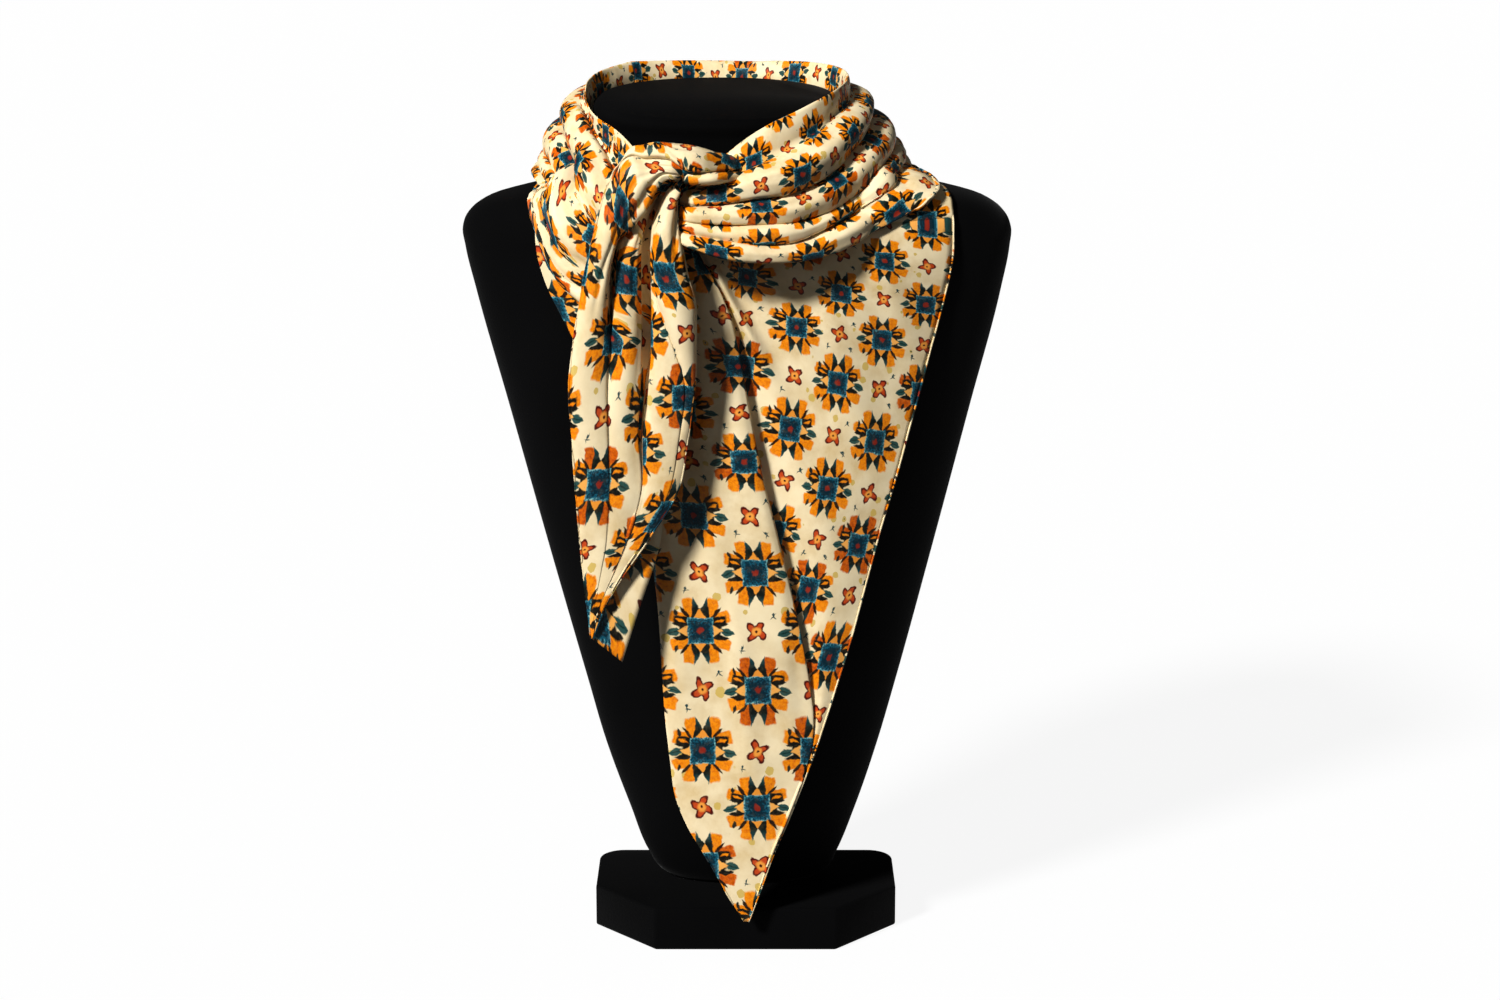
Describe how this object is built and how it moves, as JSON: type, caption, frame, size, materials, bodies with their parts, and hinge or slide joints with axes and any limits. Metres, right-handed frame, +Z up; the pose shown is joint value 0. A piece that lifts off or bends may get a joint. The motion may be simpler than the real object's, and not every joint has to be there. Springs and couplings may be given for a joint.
{
  "type": "wild rag on a limbless bust stand",
  "caption": "Large printed silk neck scarf folded corner to corner, rolled round the neck of a limbless velvet bust and tied at the front left, its point hanging down the chest.",
  "frame": {"origin": "under the middle of the base, on the plane that it stands on", "axes": "+Z up, the front faces -Y, +X is to the right as the front is seen"},
  "size_m": [0.2699, 0.1805, 0.4362],
  "materials": {
    "printed_silk": "soft satin twill with a small print of star medallions and flowers on cream",
    "black_velvet": "matt short pile"
  },
  "bodies": {
    "root": {"base_plinth": "black_velvet", "bust_form": "black_velvet", "collar_right": "printed_silk", "collar_back": "printed_silk", "collar_left": "printed_silk", "front_panel": "printed_silk", "shoulder_right": "printed_silk", "shoulder_left": "printed_silk", "tie": "printed_silk", "short_end": "printed_silk"}
  },
  "joints": []
}
